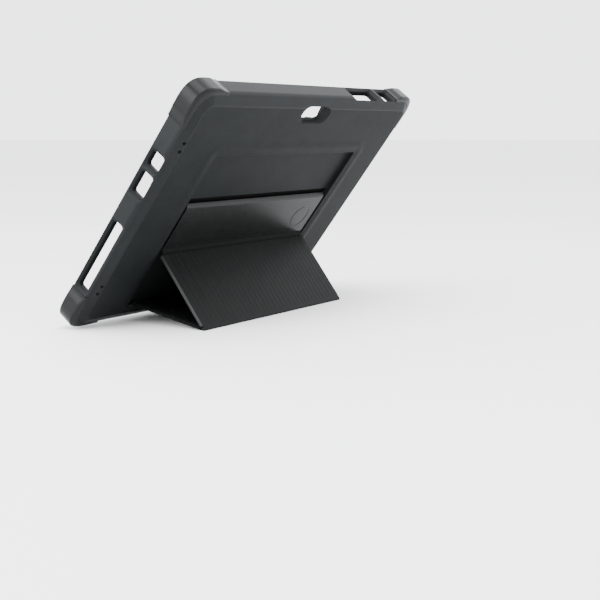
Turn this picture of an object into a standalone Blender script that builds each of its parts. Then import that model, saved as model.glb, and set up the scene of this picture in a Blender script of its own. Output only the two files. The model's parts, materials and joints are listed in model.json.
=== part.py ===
"""Rugged tablet case, standing on its fold-out kickstand.

The case is a tray: a soft bumper frame round a hard back plate, with corner bumpers, a ribbed
liner, shock pads on an inlaid rail frame and a keeper plate inside. The kickstand is three hinged
panels. The foot panel turns on the case, the leg panel on the foot panel, and the tab on the leg.

Everything fixed is drawn in the tray frame: the tray lies on its back, X to the right, Y up the
long way of the stand, Z from the back plane (0) to the rim. Each panel is drawn in a frame whose
origin is its own hinge, Y along the panel and Z towards its inner face.
Sizes are in millimetres and angles in radians unless a name says otherwise.
"""
import math

import bmesh
import bpy
from mathutils import Matrix, Vector

MM = 0.001
GAP = 0.3
CUT_PAST = 3.0
FINE_STEPS = 3

# Corner names, as seen from behind, and the tray's X and Y directions towards them.
# Left is also the tray's +X for everything else that is named left or right.
CORNERS = {
    "top_left": (1, 1),
    "top_right": (-1, 1),
    "bottom_left": (1, -1),
    "bottom_right": (-1, -1),
}

# Tray
HALF_X = 128.1
HALF_Y = 93.1
DEPTH = 16.3
CORNER_RADIUS = 14.0
ARC_STEPS = 6
CHAMFER_RUN = 8.0
CHAMFER_RISE = 3.7
WALL = 5.3
LIP_REACH = 6.6
LIP_UNDERSIDE = 15.2
LIP_BEVEL = 0.4
LIP_SLOPE = 0.2
RIM_BEVEL = 1.0
FLOOR_TOP = 4.1

# Kickstand recess and the rebate that holds the anchor strip
RECESS_HALF_X = 83.8
RECESS_LOW = 15.2
RECESS_HIGH = 140.1
RECESS_DEPTH = 3.2
RECESS_RADIUS = 1.5
STRIP_WIDTH = 6.0
STRIP_THICK = 0.6
STRIP_OVERLAP = 0.1

# Corner bumpers
BUMPER_REACH = 26.0
BUMPER_PROUD = 1.7
BUMPER_CORNER = 1.9
BUMPER_SEAT = 1.5
BUMPER_FADE = 5.0
BUMPER_FLUSH = 0.1
BUMPER_FOOT = 2.0
BUMPER_FOOT_RISE = 0.4
BUMPER_BELLY = 0.25
BUMPER_HEEL = 0.5
BUMPER_HEEL_THICK = 1.0
BUMPER_CREST = 0.2
BUMPER_LIP = 3.4
BUMPER_LIP_THICK = 1.6

# Openings: centre and half length along the wall, then low and high above the back plane
SIDE_PORTS = {
    "audio_port": (131.0, 5.2, 4.2, 13.7),
    "usb_port": (113.3, 7.9, 4.2, 13.7),
    "dock_port": (55.0, 26.6, 6.2, 13.7),
}
TOP_CUTOUTS = {
    "volume_cutout": (-60.5, 15.5, 3.2, 13.6),
    "power_cutout": (-92.0, 7.6, 3.2, 13.6),
}
OPENING_REACH = 9.0
OPENING_RADIUS = 2.0
SCOOP_THROAT = 0.4
SCOOP_FLARE = 2.8
SCOOP_RADIUS = 2.5
SCOOP_SINK = 2.6
SCOOP_PROUD = 0.6
SCOOP_LOW = 1.1
SCOOP_HIGH = 15.5
CAMERA_AT = 173.2
CAMERA_HALF_X = 12.5
CAMERA_HALF_Y = 5.5
CAMERA_FLARE_X = 4.5
CAMERA_FLARE_Y = 1.4
CAMERA_LAND = 0.2
CAMERA_FLARE_DEPTH = 2.8
OBROUND_FLAT = 0.05
LANYARD_PAIRS = (147.5, 33.8)
LANYARD_INSET = 6.45
LANYARD_SPACING = 6.2
LANYARD_RADIUS = 1.1
LANYARD_SIDES = 10
LANYARD_DRILL = (-4.0, 8.0)

# Ribbed liner
LINER_OUTSIDE = 5.6
LINER_BAND_X = 35.0
LINER_BAND_Y = 21.0
LINER_BASE = FLOOR_TOP + GAP
LINER_HIGH = (6.6, 5.2)
LINER_LOW = (5.3, 4.75)
LINER_SKEW = 0.035
LINER_INNER_RADIUS = 6.0
FACET_STEP = 0.02
FACETS_SHORT_SIDE = 8
FACETS_LONG_SIDE = 13

# Rail inlay, pads and keeper plate
RAIL_X = 70.0
RAIL_Y = 45.5
RAIL_WIDTH = 5.0
RAIL_THICK = 0.6
RAIL_OUTER_RADIUS = 3.0
RAIL_INNER_RADIUS = 0.5
ARM_INSET = 0.05
ARM_END_X = 102.0
ARM_END_Y = 73.0
PAD_TOP = 6.9
PAD_LOBE = 16.5
PAD_TAIL = 15.0
PAD_HALF_WIDTH = 7.0
PAD_SECTION = (
    (0.6, LINER_BASE), (0.0, LINER_BASE + 0.8), (0.4, PAD_TOP - 0.8), (1.2, PAD_TOP))
PAD_CHANNEL = 30.0
CHANNEL_OVERLAP = 0.75
KEEPER_RADIUS = 1.0
KEEPER_HALF_X = 26.5
KEEPER_HALF_Y = 30.0
KEEPER_CENTRE_Y = 6.5
KEEPER_THICK = 0.6

# Kickstand
PANEL_HALF_X = 83.1
PANEL_THICK = 2.4
SKIN_THICK = 0.6
LAYER_GAP = 0.25
SKIN_BORDER = 1.4
POCKET_END = 5.0
FOOT_ROOT = 0.4
FOOT_HINGE_Y = 15.8
FOOT_HINGE_Z = 0.3
TAB_HINGE_Y = 62.3
TAB_HINGE_RISE = 0.2
FOOT_SPAN = 63.8
LEG_SPAN = 59.2
TAB_LENGTH = 38.3
HINGE_GAP_FOOT = 1.6
HINGE_GAP_TAB = 2.0
MITRE_RUN = 2.1
MITRE_EDGE = 0.4
LEG_END_BEVEL = 1.5
TAB_STRIP_THICK = 0.8
TAB_STRIP_TAPER = 0.1
TAB_STRIP_END = 0.4
BEAD_RADIUS = 1.1
BEAD_SIDES = 12
GROOVE_PITCH = 4.75
GROOVE_WIDTH = 1.1
GROOVE_DEPTH = 0.3
GROOVE_MARGIN = 3.0
MAGNET_X = 65.0
MAGNET_RADIUS = 10.0
MAGNET_SIDES = 24
MAGNET_Y = 17.7
MAGNET_CUT_PAST = 0.6

COLOURS = {
    "soft_black": ((0.035, 0.037, 0.039), 0.62, 0.0),
    "hard_black": ((0.042, 0.044, 0.046), 0.55, 0.0),
    "bumper_black": ((0.030, 0.031, 0.033), 0.42, 0.0),
    "liner_black": ((0.028, 0.030, 0.032), 0.66, 0.0),
    "rail_grey": ((0.33, 0.33, 0.32), 0.55, 0.0),
    "keeper_grey": ((0.42, 0.42, 0.42), 0.38, 0.6),
    "pad_blue": ((0.10, 0.42, 0.78), 0.5, 0.0),
    "panel_skin": ((0.030, 0.031, 0.032), 0.5, 0.0),
    "leg_grip": ((0.028, 0.029, 0.030), 0.62, 0.0),
    "panel_core": ((0.12, 0.12, 0.12), 0.6, 0.0),
    "magnet_steel": ((0.55, 0.55, 0.56), 0.3, 1.0),
}


# ---------------------------------------------------------------- scene and mesh helpers

def clear_scene():
    for thing in list(bpy.data.objects):
        bpy.data.objects.remove(thing, do_unlink=True)


def make_material(name):
    colour, roughness, metallic = COLOURS[name]
    material = bpy.data.materials.new(name)
    material.use_nodes = True
    shader = material.node_tree.nodes["Principled BSDF"]
    shader.inputs["Base Color"].default_value = (*colour, 1.0)
    shader.inputs["Roughness"].default_value = roughness
    shader.inputs["Metallic"].default_value = metallic
    return material


def make_empty(name, parent, location, turn):
    """An empty on a hinge, turned about X in its parent's frame."""
    empty = bpy.data.objects.new(name, None)
    bpy.context.scene.collection.objects.link(empty)
    empty.parent = parent
    empty.location = Vector(location) * MM
    empty.rotation_euler = (turn, 0.0, 0.0)
    return empty


def loft(name, rings, parent, material=None, closed=False):
    """Skin equal rings of points into one closed solid, as a tube with caps or as a closed band."""
    bm = bmesh.new()
    loops = [[bm.verts.new(Vector(point) * MM) for point in ring] for ring in rings]
    pairs = list(zip(loops, loops[1:]))
    if closed:
        pairs.append((loops[-1], loops[0]))
    else:
        bm.faces.new(loops[0])
        bm.faces.new(loops[-1])
    for first, second in pairs:
        for i, vert in enumerate(first):
            j = (i + 1) % len(first)
            bm.faces.new((vert, first[j], second[j], second[i]))
    bmesh.ops.recalc_face_normals(bm, faces=bm.faces)
    mesh = bpy.data.meshes.new(name)
    bm.to_mesh(mesh)
    bm.free()
    solid = bpy.data.objects.new(name, mesh)
    bpy.context.scene.collection.objects.link(solid)
    solid.parent = parent
    if material:
        mesh.materials.append(material)
    else:
        solid.hide_render = True
        solid.display_type = "WIRE"
    return solid


def prism(name, outline, low, high, axis, parent, material=None):
    """Extrude a flat outline along X, Y or Z; the outline holds the other two axes in order."""
    rings = []
    for level in (low, high):
        ring = []
        for a, b in outline:
            point = {"X": (level, a, b), "Y": (a, level, b), "Z": (a, b, level)}[axis]
            ring.append(point)
        rings.append(ring)
    return loft(name, rings, parent, material)


def boolean(solid, operation, *tools):
    for tool in tools:
        modifier = solid.modifiers.new(f"{operation.lower()}_{tool.name}", "BOOLEAN")
        modifier.operation = operation
        modifier.solver = "EXACT"
        modifier.object = tool


def cut(solid, *tools):
    boolean(solid, "DIFFERENCE", *tools)


# ---------------------------------------------------------------- outlines

def rounded_rectangle(half_a, half_b, radius, centre=(0.0, 0.0), steps=ARC_STEPS):
    points = []
    corners = ((1, 1, 0.0), (-1, 1, 0.5), (-1, -1, 1.0), (1, -1, 1.5))
    for side_a, side_b, start in corners:
        for i in range(steps + 1):
            angle = math.pi * (start + 0.5 * i / steps)
            a = side_a * (half_a - radius) + radius * math.cos(angle)
            b = side_b * (half_b - radius) + radius * math.sin(angle)
            points.append((centre[0] + a, centre[1] + b))
    return points


def rectangle(low_a, high_a, low_b, high_b):
    return [(low_a, low_b), (high_a, low_b), (high_a, high_b), (low_a, high_b)]


def circle(radius, sides, centre=(0.0, 0.0)):
    angles = [2 * math.pi * i / sides for i in range(sides)]
    return [(centre[0] + radius * math.cos(a), centre[1] + radius * math.sin(a)) for a in angles]


def obround(half_a, half_b, centre):
    """A slot with round ends that keep a short flat, so that no two points coincide."""
    return rounded_rectangle(half_a, half_b, half_b - OBROUND_FLAT, centre)


def inset_outline(inset, level):
    """The tray's rounded outline, moved in by a distance, as points at one height."""
    radius = CORNER_RADIUS - inset
    return [(x, y, level) for x, y in rounded_rectangle(HALF_X - inset, HALF_Y - inset, radius)]


def outline_point(half_x, half_y, radius, side, fraction):
    """A point on one side of a rounded rectangle; -0.5 and 0.5 are the middles of its corners."""
    along, across = (half_y, half_x) if side in (0, 2) else (half_x, half_y)
    straight = along - radius
    arc = radius * math.pi / 4
    distance = 2 * fraction * (straight + arc)
    if abs(distance) <= straight:
        a, b = distance, across
    else:
        angle = (abs(distance) - straight) / radius
        a = math.copysign(straight + radius * math.sin(angle), distance)
        b = across - radius + radius * math.cos(angle)
    turn = Matrix.Rotation(side * math.pi / 2, 2)
    return turn @ Vector((b, a))


# ---------------------------------------------------------------- tray

def tray_y(height):
    """Tray Y of a height measured up from the tray's bottom edge."""
    return height - HALF_Y


def corner_path(inset, signs, reach):
    """Points round one corner of the tray, from one end of a bumper to the other.

    Outside the tray the corner swells, which makes it squarer than the tray's own.
    """
    swell = BUMPER_CORNER if inset < 0 else 0.0
    radius = CORNER_RADIUS - inset
    edge_x = HALF_X - inset
    edge_y = HALF_Y - inset
    centre_x = HALF_X - CORNER_RADIUS
    centre_y = HALF_Y - CORNER_RADIUS
    points = [(edge_x, HALF_Y - reach), (edge_x, HALF_Y - reach + BUMPER_FADE)]
    for i in range(ARC_STEPS + 1):
        angle = math.pi / 2 * i / ARC_STEPS
        grown = radius + swell * math.sin(2 * angle) ** 2
        points.append((centre_x + grown * math.cos(angle), centre_y + grown * math.sin(angle)))
    points += [(HALF_X - reach + BUMPER_FADE, edge_y), (HALF_X - reach, edge_y)]
    return [(signs[0] * x, signs[1] * y) for x, y in points]


def swept_corner(name, profile, signs, reach, parent, material=None, fade_ends=False):
    """Sweep a section round a corner. Points outside the tray drop to its surface at the ends."""
    tracks = []
    for inset, level in profile:
        track = corner_path(inset, signs, reach)
        if fade_ends and inset < 0:
            flush = corner_path(-BUMPER_FLUSH, signs, reach)
            track[0] = flush[0]
            track[-1] = flush[-1]
        tracks.append([(x, y, level) for x, y in track])
    rings = [list(ring) for ring in zip(*tracks)]
    return loft(name, rings, parent, material)


def bumper_profile(grow):
    """Section of a corner bumper as inset and height, grown at its inner faces for the seat."""
    slope = CHAMFER_RISE / CHAMFER_RUN
    foot_inset = BUMPER_FOOT + grow
    seat = BUMPER_SEAT + grow
    seat_level = CHAMFER_RISE + BUMPER_HEEL_THICK + grow
    foot_level = seat_level - slope * (foot_inset - BUMPER_FOOT_RISE - seat)
    lip = BUMPER_LIP + grow
    lip_level = DEPTH - BUMPER_LIP_THICK - grow
    return [
        (foot_inset, CHAMFER_RISE - slope * foot_inset - BUMPER_BELLY),
        (-BUMPER_PROUD, CHAMFER_RISE - BUMPER_HEEL),
        (-BUMPER_PROUD, DEPTH - BUMPER_PROUD),
        (BUMPER_CREST, DEPTH + BUMPER_CREST),
        (lip, DEPTH + BUMPER_CREST),
        (lip, lip_level),
        (seat, lip_level),
        (seat, seat_level),
        (foot_inset, foot_level),
    ]


def seat_profile():
    """The bumper's section, grown by the gap inside and far past the tray outside."""
    inner = bumper_profile(GAP)
    foot_inset = inner[0][0]
    lip = inner[4][0]
    top = DEPTH + CUT_PAST
    return [
        (foot_inset, -CUT_PAST), (-CUT_PAST, -CUT_PAST), (-CUT_PAST, top), (lip, top), *inner[5:]]


def make_frame(parent, material, camera, lanyards):
    profile = [
        (CHAMFER_RUN, 0.0),
        (0.0, CHAMFER_RISE),
        (0.0, DEPTH - RIM_BEVEL),
        (RIM_BEVEL, DEPTH),
        (LIP_REACH - LIP_BEVEL, DEPTH),
        (LIP_REACH, DEPTH - LIP_BEVEL),
        (LIP_REACH, LIP_UNDERSIDE + LIP_SLOPE),
        (WALL, LIP_UNDERSIDE),
        (WALL, FLOOR_TOP),
        (CHAMFER_RUN, FLOOR_TOP),
    ]
    rings = [inset_outline(inset, level) for inset, level in profile]
    frame = loft("bumper_frame", rings, parent, material, closed=True)
    for corner, signs in CORNERS.items():
        seat = swept_corner(f"seat_{corner}", seat_profile(), signs, BUMPER_REACH + GAP, parent)
        cut(frame, seat)
    for name, (height, half, low, high) in SIDE_PORTS.items():
        cut(frame, *opening_tools(name, tray_y(height), half, low, high, "X", parent))
    for name, (along, half, low, high) in TOP_CUTOUTS.items():
        cut(frame, *opening_tools(name, along, half, low, high, "Y", parent))
    cut(frame, camera, *lanyards)
    return frame


def opening_tools(name, along, half, low, high, wall, parent):
    """The hole through a wall and the flared scoop round its mouth."""
    outside = HALF_X if wall == "X" else HALF_Y
    rise = (high - low) / 2
    centre = (along, (low + high) / 2)
    hole = rounded_rectangle(half, rise, OPENING_RADIUS, centre, FINE_STEPS)
    throat = rounded_rectangle(
        half + SCOOP_THROAT, rise + SCOOP_THROAT, OPENING_RADIUS, centre, FINE_STEPS)
    mouth_centre = (along, (SCOOP_LOW + SCOOP_HIGH) / 2)
    mouth = rounded_rectangle(
        half + SCOOP_FLARE, (SCOOP_HIGH - SCOOP_LOW) / 2, SCOOP_RADIUS, mouth_centre, FINE_STEPS)

    def ring(outline, level):
        if wall == "X":
            return [(level, a, b) for a, b in outline]
        return [(a, level, b) for a, b in outline]

    hole_rings = [ring(hole, outside - OPENING_REACH), ring(hole, outside + CUT_PAST)]
    through = loft(f"{name}_hole", hole_rings, parent)
    scoop_rings = [ring(throat, outside - SCOOP_SINK), ring(mouth, outside + SCOOP_PROUD)]
    scoop = loft(f"{name}_scoop", scoop_rings, parent)
    return through, scoop


def make_camera_tool(parent):
    """An obround hole through the floor that flares towards the back."""
    centre = (0.0, tray_y(CAMERA_AT))
    throat = obround(CAMERA_HALF_X, CAMERA_HALF_Y, centre)
    mouth = obround(CAMERA_HALF_X + CAMERA_FLARE_X, CAMERA_HALF_Y + CAMERA_FLARE_Y, centre)
    levels = (
        (mouth, -CUT_PAST), (mouth, CAMERA_LAND), (throat, CAMERA_FLARE_DEPTH),
        (throat, LINER_BASE + CUT_PAST))
    rings = [[(x, y, level) for x, y in outline] for outline, level in levels]
    return loft("camera_hole", rings, parent)


def make_lanyard_tools(parent):
    """Drills that run from the chamfer to the floor's edge inside the tray."""
    tools = []
    for pair, height in enumerate(LANYARD_PAIRS):
        for side in (-0.5, 0.5):
            y = tray_y(height) + side * LANYARD_SPACING
            outline = circle(LANYARD_RADIUS, LANYARD_SIDES, (HALF_X - LANYARD_INSET, y))
            rings = [[(a, b, level) for a, b in outline] for level in LANYARD_DRILL]
            number = 2 * pair + (1 if side > 0 else 0)
            tools.append(loft(f"lanyard_hole_{number}", rings, parent))
    return tools


def make_back_plate(parent, material, camera):
    inset = CHAMFER_RUN + GAP
    rings = [inset_outline(inset, level) for level in (0.0, FLOOR_TOP)]
    plate = loft("back_plate", rings, parent, material)
    middle = tray_y((RECESS_LOW + RECESS_HIGH) / 2)
    half = (RECESS_HIGH - RECESS_LOW) / 2
    outline = rounded_rectangle(
        RECESS_HALF_X, half, RECESS_RADIUS, (0.0, middle), FINE_STEPS)
    recess = prism("recess_tool", outline, -CUT_PAST, RECESS_DEPTH, "Z", parent)
    edge = PANEL_HALF_X + GAP
    rebate_outline = rectangle(
        -edge, edge, tray_y(RECESS_LOW - STRIP_WIDTH - GAP), tray_y(RECESS_LOW + CUT_PAST))
    rebate = prism("rebate_tool", rebate_outline, -CUT_PAST, STRIP_THICK + GAP, "Z", parent)
    cut(plate, recess, rebate, camera)
    return plate


def make_corner_bumpers(parent, material):
    for corner, signs in CORNERS.items():
        swept_corner(
            f"corner_bumper_{corner}", bumper_profile(0.0), signs, BUMPER_REACH, parent,
            material, fade_ends=True)


def liner_section(side, fraction, outer_level, inner_level):
    """One cross-section of the liner, as its four corner points."""
    outer = outline_point(
        HALF_X - LINER_OUTSIDE, HALF_Y - LINER_OUTSIDE, CORNER_RADIUS - LINER_OUTSIDE,
        side, fraction)
    inner = outline_point(
        HALF_X - LINER_BAND_X, HALF_Y - LINER_BAND_Y, LINER_INNER_RADIUS,
        side, fraction + LINER_SKEW)
    return [
        (*outer, LINER_BASE),
        (*outer, outer_level),
        (*inner, inner_level),
        (*inner, LINER_BASE),
    ]


def make_liner(parent, material, camera, lanyards):
    """A band of sloping facets round the floor, each stepping down to the next."""
    rings = []
    last = 0.5 - LINER_SKEW
    for side in range(4):
        count = FACETS_SHORT_SIDE if side in (0, 2) else FACETS_LONG_SIDE
        for facet in range(count):
            start = (facet + FACET_STEP) / count - 0.5
            end = min((facet + 1 - FACET_STEP) / count - 0.5, last)
            rings.append(liner_section(side, start, *LINER_HIGH))
            rings.append(liner_section(side, end, *LINER_LOW))
    liner = loft("rib_liner", rings, parent, material, closed=True)
    cut(liner, camera, *lanyards)
    for corner, signs in CORNERS.items():
        cut(liner, make_arm(f"arm_channel_{corner}", signs, GAP, parent))
    return liner


def bar_outline(start, end, width):
    """A straight bar between two points, as four corners."""
    a = Vector(start)
    b = Vector(end)
    side = (b - a).normalized().orthogonal() * (width / 2)
    return [tuple(a - side), tuple(b - side), tuple(b + side), tuple(a + side)]


def make_arm(name, signs, grow, parent):
    """A diagonal arm from a rail corner out towards the tray's corner."""
    start = Vector((signs[0] * RAIL_X, signs[1] * RAIL_Y))
    end = Vector((signs[0] * ARM_END_X, signs[1] * ARM_END_Y))
    reach = (end - start).normalized() * grow
    outline = bar_outline(start, end + reach, RAIL_WIDTH + 2 * grow)
    if grow:
        return prism(name, outline, LINER_BASE - CUT_PAST, LINER_BASE + CUT_PAST, "Z", parent)
    top = LINER_BASE + RAIL_THICK - ARM_INSET
    return prism(name, outline, LINER_BASE + ARM_INSET, top, "Z", parent)


def make_rails(parent, material):
    """The inlaid frame that links the pads, with an arm to each corner."""
    half = RAIL_WIDTH / 2
    outer = rounded_rectangle(
        RAIL_X + half, RAIL_Y + half, RAIL_OUTER_RADIUS, steps=FINE_STEPS)
    inner = rounded_rectangle(
        RAIL_X - half, RAIL_Y - half, RAIL_INNER_RADIUS, steps=FINE_STEPS)
    top = LINER_BASE + RAIL_THICK
    levels = ((outer, LINER_BASE), (outer, top), (inner, top), (inner, LINER_BASE))
    rings = [[(x, y, level) for x, y in outline] for outline, level in levels]
    rails = loft("rail_inlay", rings, parent, material, closed=True)
    for corner, signs in CORNERS.items():
        boolean(rails, "UNION", make_arm(f"arm_{corner}", signs, 0.0, parent))
    return rails


def pad_outline(signs, shrink):
    """A three-lobed shield: two lobes along the rails and a tail along the diagonal."""
    lobes = ((0.0, PAD_LOBE), (math.pi / 2, PAD_LOBE), (5 * math.pi / 4, PAD_TAIL))
    points = []
    for angle, length in lobes:
        along = Vector((math.cos(angle), math.sin(angle)))
        across = Vector((-along.y, along.x))
        for half in (-1, 1):
            points.append(along * (length - shrink) + across * half * (PAD_HALF_WIDTH - shrink))
    return [(signs[0] * (RAIL_X - p.x), signs[1] * (RAIL_Y - p.y)) for p in points]


def make_pads(parent, material):
    """Pads that straddle the rails, with a channel underneath for them."""
    channel_top = LINER_BASE + RAIL_THICK + GAP
    for corner, signs in CORNERS.items():
        rings = [
            [(x, y, level) for x, y in pad_outline(signs, shrink)]
            for shrink, level in PAD_SECTION]
        pad = loft(f"shock_pad_{corner}", rings, parent, material)
        centre = Vector((signs[0] * RAIL_X, signs[1] * RAIL_Y))
        width = RAIL_WIDTH + 2 * GAP
        ends = {
            "x": centre - Vector((signs[0] * PAD_CHANNEL, 0.0)),
            "y": centre - Vector((0.0, signs[1] * PAD_CHANNEL)),
            "tail": Vector((signs[0] * ARM_END_X, signs[1] * ARM_END_Y)),
        }
        for name, end in ends.items():
            start = centre - (end - centre).normalized() * (width * CHANNEL_OVERLAP)
            outline = bar_outline(start, end, width)
            tool = prism(
                f"pad_channel_{corner}_{name}", outline, LINER_BASE - CUT_PAST, channel_top,
                "Z", parent)
            cut(pad, tool)


def make_keeper(parent, material):
    outline = rounded_rectangle(
        KEEPER_HALF_X, KEEPER_HALF_Y, KEEPER_RADIUS, (0.0, KEEPER_CENTRE_Y), FINE_STEPS)
    top = LINER_BASE + KEEPER_THICK
    return prism("keeper_plate", outline, LINER_BASE, top, "Z", parent, material)


# ---------------------------------------------------------------- kickstand

def rotated(point, angle):
    y, z = point
    return (
        y * math.cos(angle) - z * math.sin(angle),
        y * math.sin(angle) + z * math.cos(angle),
    )


def solve_stand():
    """Turns of the open foot and leg panels, where the leg's top reaches the tab's place."""
    half = PANEL_THICK / 2
    foot_arm = (FOOT_SPAN, half)
    leg_arm = (LEG_SPAN, -half - TAB_HINGE_RISE)
    tab_z = FOOT_HINGE_Z - TAB_HINGE_RISE
    gap_y = TAB_HINGE_Y - FOOT_HINGE_Y
    gap_z = tab_z - FOOT_HINGE_Z
    foot = math.hypot(*foot_arm)
    leg = math.hypot(*leg_arm)
    base = math.hypot(gap_y, gap_z)
    at_foot = math.acos((foot ** 2 + base ** 2 - leg ** 2) / (2 * foot * base))
    foot_turn = math.atan2(gap_z, gap_y) - at_foot - math.atan2(foot_arm[1], foot_arm[0])
    knee = rotated(foot_arm, foot_turn)
    rise = (gap_y - knee[0], gap_z - knee[1])
    leg_turn = math.atan2(rise[1], rise[0]) - math.atan2(leg_arm[1], leg_arm[0])
    return foot_turn, leg_turn


def solve_lean(foot_turn):
    """Angle between floor and back when the bottom bumpers and the knee both touch the floor."""
    knee = rotated((FOOT_SPAN, PANEL_THICK / 2), foot_turn)
    knee_y = FOOT_HINGE_Y + knee[0]
    knee_z = FOOT_HINGE_Z + knee[1]
    rise = knee_y + BUMPER_PROUD
    run = CHAMFER_RISE - BUMPER_HEEL - knee_z
    return math.atan2(run, rise) + math.asin(BEAD_RADIUS / math.hypot(rise, run))


def panel_layers(name, section, pocket, parent, materials, outer):
    """A panel as a skin tray, a core board in its pocket and a lining that closes it."""
    skin = prism(f"{name}_skin", section, -PANEL_HALF_X, PANEL_HALF_X, "X", parent, materials[0])
    low, high = pocket
    edge = PANEL_HALF_X - SKIN_BORDER
    floor = outer + SKIN_THICK

    def board(label, shrink, start, end, material=None):
        box = rectangle(low + shrink, high - shrink, start, end)
        return prism(label, box, shrink - edge, edge - shrink, "X", parent, material)

    cut(skin, board(f"{name}_pocket", 0.0, floor, outer + PANEL_THICK + CUT_PAST))
    core_start = floor + LAYER_GAP
    lining_start = outer + PANEL_THICK - SKIN_THICK
    core_end = lining_start - LAYER_GAP
    core = board(f"{name}_core", GAP, core_start, core_end, materials[1])
    board(f"{name}_lining", GAP, lining_start, outer + PANEL_THICK, materials[0])
    return skin, core, (core_start, core_end)


def make_foot_panel(parent, materials):
    """The panel that turns on the case; its inner edge is mitred to let the leg fold in."""
    end = FOOT_SPAN - HINGE_GAP_FOOT
    mid = PANEL_THICK / 2
    section = [
        (FOOT_ROOT, 0.0), (end, 0.0), (end, mid + MITRE_EDGE),
        (end - MITRE_RUN, PANEL_THICK), (FOOT_ROOT, PANEL_THICK)]
    panel_layers("foot", section, (SKIN_BORDER, end - POCKET_END), parent, materials, 0.0)
    bead = circle(BEAD_RADIUS, BEAD_SIDES, (FOOT_SPAN, mid))
    prism("knee_bead", bead, -PANEL_HALF_X, PANEL_HALF_X, "X", parent, materials[0])


def groove_profile(outer, inner):
    """Outline across the leg's width, with fine grooves along its outer face."""
    count = int(2 * (PANEL_HALF_X - GROOVE_MARGIN) / GROOVE_PITCH)
    first = -GROOVE_PITCH * (count - 1) / 2
    edge = PANEL_HALF_X + CUT_PAST
    points = [(-edge, inner), (-edge, outer)]
    for i in range(count):
        x = first + i * GROOVE_PITCH
        points += [
            (x - GROOVE_WIDTH / 2, outer), (x, outer + GROOVE_DEPTH), (x + GROOVE_WIDTH / 2, outer)]
    points += [(edge, outer), (edge, inner)]
    return points


def make_leg_panel(parent, materials):
    """The strut panel, grooved outside, with a soft strip at its top for the tab's hinge."""
    outer = -PANEL_THICK / 2
    inner = PANEL_THICK / 2
    end = LEG_SPAN - HINGE_GAP_TAB
    section = [
        (HINGE_GAP_FOOT, outer), (end, outer), (end, inner - LEG_END_BEVEL),
        (end - LEG_END_BEVEL, inner), (HINGE_GAP_FOOT + MITRE_RUN, inner),
        (HINGE_GAP_FOOT, MITRE_EDGE)]
    pocket = (POCKET_END, end - POCKET_END / 2)
    skin, _, _ = panel_layers("leg", section, pocket, parent, materials, outer)
    grooves = prism(
        "groove_tool", groove_profile(outer, inner + CUT_PAST), 0.0, LEG_SPAN, "Y", parent)
    boolean(skin, "INTERSECT", grooves)
    top = LEG_SPAN - TAB_STRIP_END
    strip = [
        (end + GAP, outer), (top, outer), (top, outer + TAB_STRIP_THICK - TAB_STRIP_TAPER),
        (end + GAP, outer + TAB_STRIP_THICK)]
    prism("tab_hinge_strip", strip, -PANEL_HALF_X, PANEL_HALF_X, "X", parent, materials[2])


def make_tab(parent, materials, magnet_material):
    """The locking tab, with two flat magnets in its core."""
    outer = TAB_HINGE_RISE
    low = HINGE_GAP_TAB
    section = rectangle(low, TAB_LENGTH, outer, outer + PANEL_THICK)
    pocket = (low + SKIN_BORDER, TAB_LENGTH - SKIN_BORDER)
    _, core, (start, end) = panel_layers("tab", section, pocket, parent, materials, outer)
    for side, sign in (("left", 1), ("right", -1)):
        centre = (sign * MAGNET_X, MAGNET_Y)
        hole = circle(MAGNET_RADIUS + GAP, MAGNET_SIDES, centre)
        disc = circle(MAGNET_RADIUS, MAGNET_SIDES, centre)
        cut(core, prism(
            f"magnet_hole_{side}", hole, start - MAGNET_CUT_PAST, end + MAGNET_CUT_PAST,
            "Z", parent))
        prism(f"tab_magnet_{side}", disc, start, end, "Z", parent, magnet_material)


def make_anchor_strip(parent, material):
    """The strip glued into the back plate that the foot panel's skin is hinged to."""
    outline = rectangle(
        -PANEL_HALF_X, PANEL_HALF_X, tray_y(RECESS_LOW - STRIP_WIDTH),
        tray_y(RECESS_LOW + STRIP_OVERLAP))
    prism("anchor_strip", outline, 0.0, STRIP_THICK, "Z", parent, material)


# ---------------------------------------------------------------- assembly

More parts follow.
